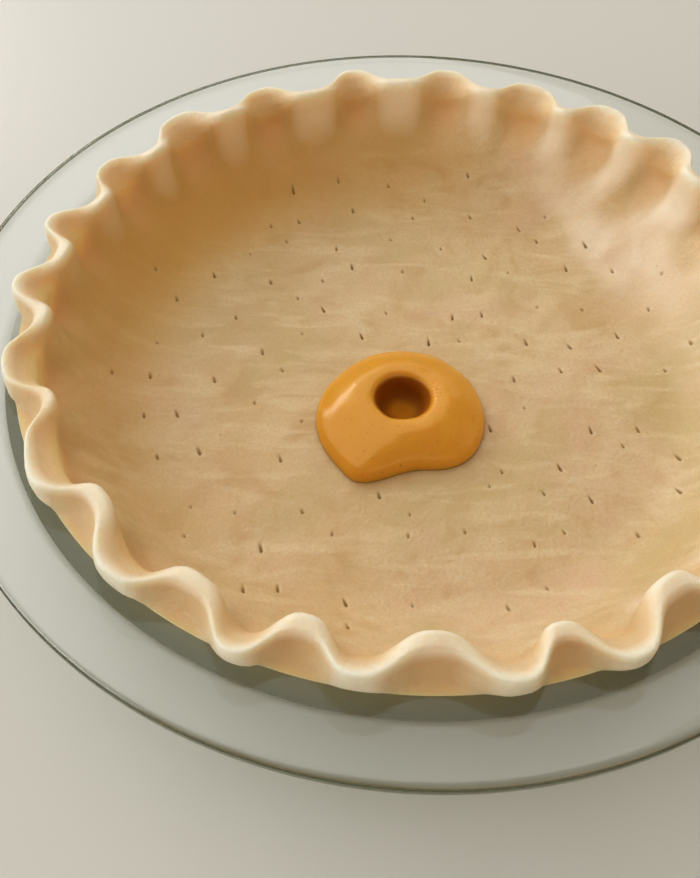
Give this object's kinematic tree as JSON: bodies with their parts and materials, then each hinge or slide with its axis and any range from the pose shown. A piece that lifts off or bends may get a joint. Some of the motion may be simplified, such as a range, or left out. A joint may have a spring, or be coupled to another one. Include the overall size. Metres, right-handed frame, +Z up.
{
  "type": "pumpkin pie in a glass dish",
  "caption": "Raw pie shell with a pinched, fluted standing edge in a round clear glass dish, with a first small pool of pumpkin filling.",
  "frame": {"origin": "centre of the dish's foot, on the surface that the dish stands on", "axes": "+Z up through the middle of the dish; -Y is the side towards the viewer, where the pool of filling lies a little nearer the rim"},
  "size_m": [0.254, 0.254, 0.0424],
  "materials": {
    "clear_glass": "clear pressed glass with a faint green tint, smooth and glossy",
    "raw_pastry": "soft raw shortcrust dough, matte with a slight buttery sheen",
    "pumpkin_filling": "wet, glossy pumpkin custard"
  },
  "bodies": {
    "root": {"glass_dish": "clear_glass", "pastry_shell": "raw_pastry", "pumpkin_filling": "pumpkin_filling"}
  },
  "joints": []
}
